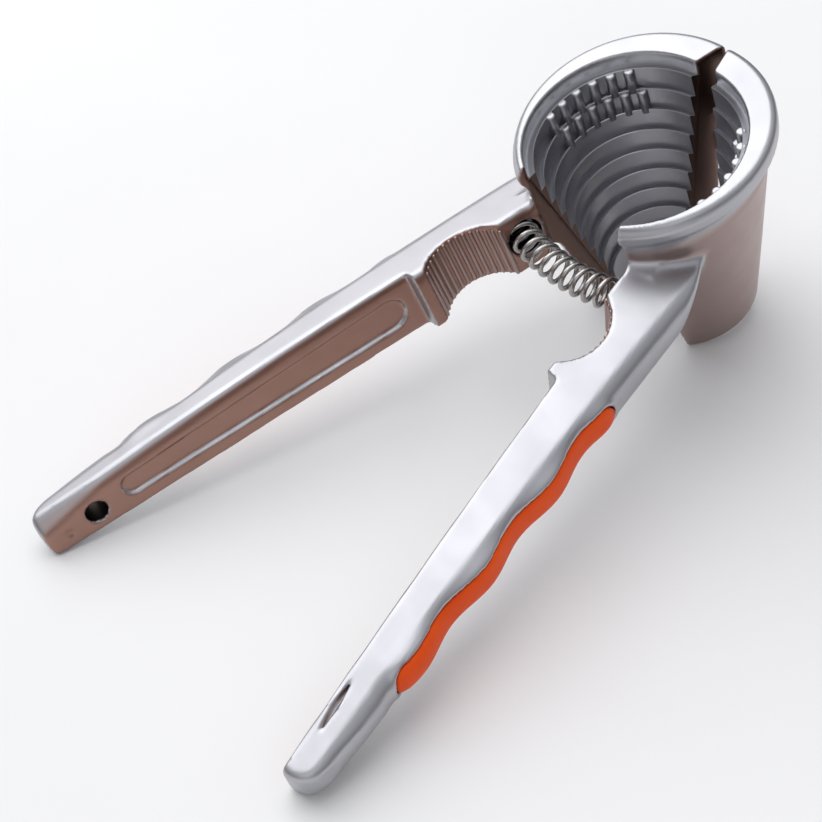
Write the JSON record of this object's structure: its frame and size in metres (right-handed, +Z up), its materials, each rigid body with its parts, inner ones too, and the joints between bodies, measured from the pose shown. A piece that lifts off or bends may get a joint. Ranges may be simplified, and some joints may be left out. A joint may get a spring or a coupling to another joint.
{
  "type": "funnel nutcracker pliers",
  "caption": "Hand pliers with a split, stepped funnel that cracks a nut, hinged behind the funnel, sprung open, with wavy rubber grips let into the cast handles.",
  "frame": {"origin": "on the table under the middle of the standing part's box", "axes": "+Z up from the table, +Y from the handle tips towards the funnel and its hinge, +X towards the right lever; the hinge axis leans back from +Z towards the handles by the resting tilt"},
  "size_m": [0.0882, 0.1644, 0.0603],
  "materials": {
    "cast_metal": "satin plating on a cast zinc alloy",
    "steel": "bright drawn wire and pin",
    "grip_rubber": "matt orange rubber"
  },
  "bodies": {
    "left": {"left_lever": "cast_metal", "hinge_pin": "steel", "return_spring": "steel", "left_grip": "grip_rubber"},
    "right": {"right_lever": "cast_metal", "right_grip": "grip_rubber"}
  },
  "joints": [
    {"name": "hinge", "type": "hinge", "parent": "left", "child": "right", "pos_m": [0, 0.07603, 0.04346], "axis": [0, -0.268, 0.9634], "range_deg": [-23, 0], "stiffness_Nm_per_rad": 2.5, "springref_deg": 1.72, "deforming": ["return_spring"]}
  ]
}
